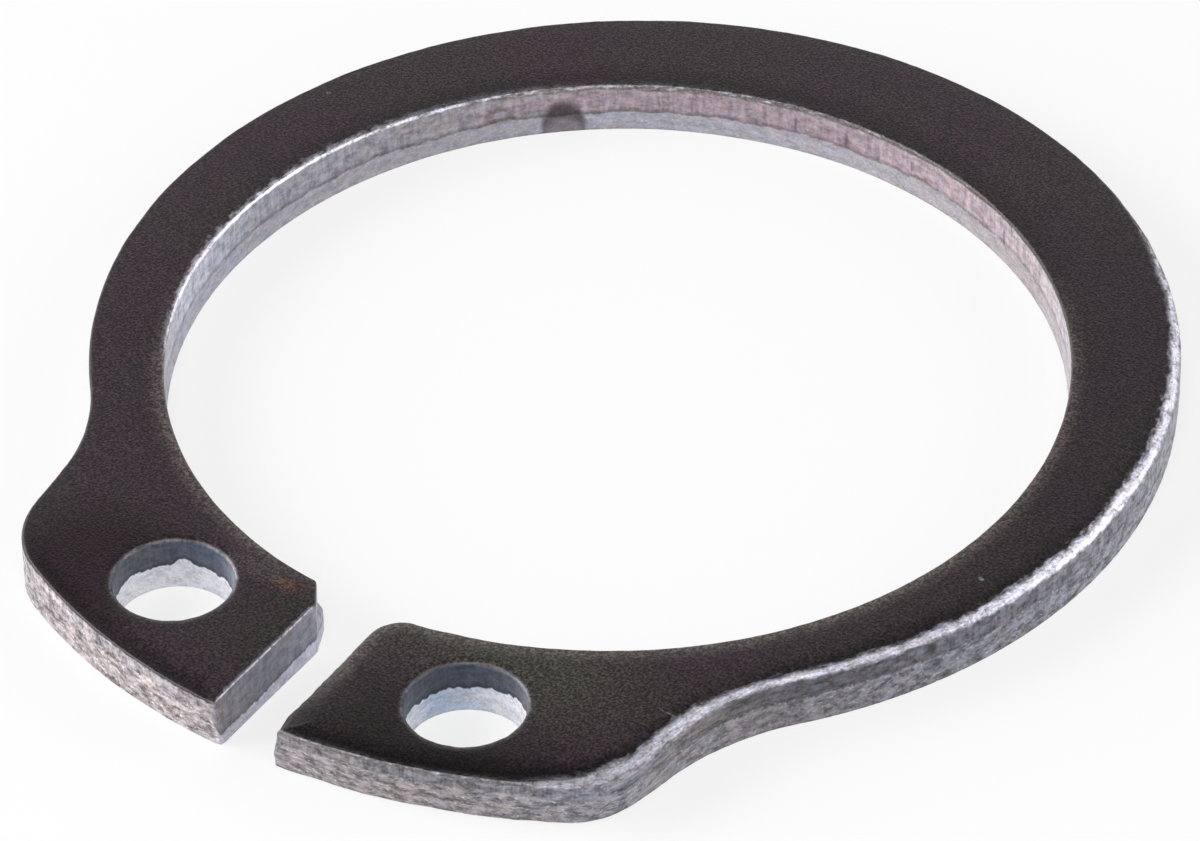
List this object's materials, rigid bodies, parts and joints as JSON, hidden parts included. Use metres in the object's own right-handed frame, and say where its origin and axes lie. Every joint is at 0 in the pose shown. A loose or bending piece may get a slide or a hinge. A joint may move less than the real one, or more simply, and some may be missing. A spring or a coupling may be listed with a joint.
{
  "type": "external retaining ring",
  "caption": "Open spring-steel ring that snaps into a groove round a shaft, tapering from its back to the lugs at its gap, with a plier hole through each lug.",
  "frame": {"origin": "centre of the bore, in the middle of the strip's thickness", "axes": "+Z along the axis of the shaft, towards the face with the rolled edges; +Y from the gap to the back of the ring; the gap between the lugs is on -Y"},
  "size_m": [0.0222, 0.025, 0.0012],
  "materials": {
    "phosphated_steel": "dark phosphate and oil on the faces, lighter bare metal on the punched edges"
  },
  "bodies": {
    "root": {"circlip": "phosphated_steel"}
  },
  "joints": []
}
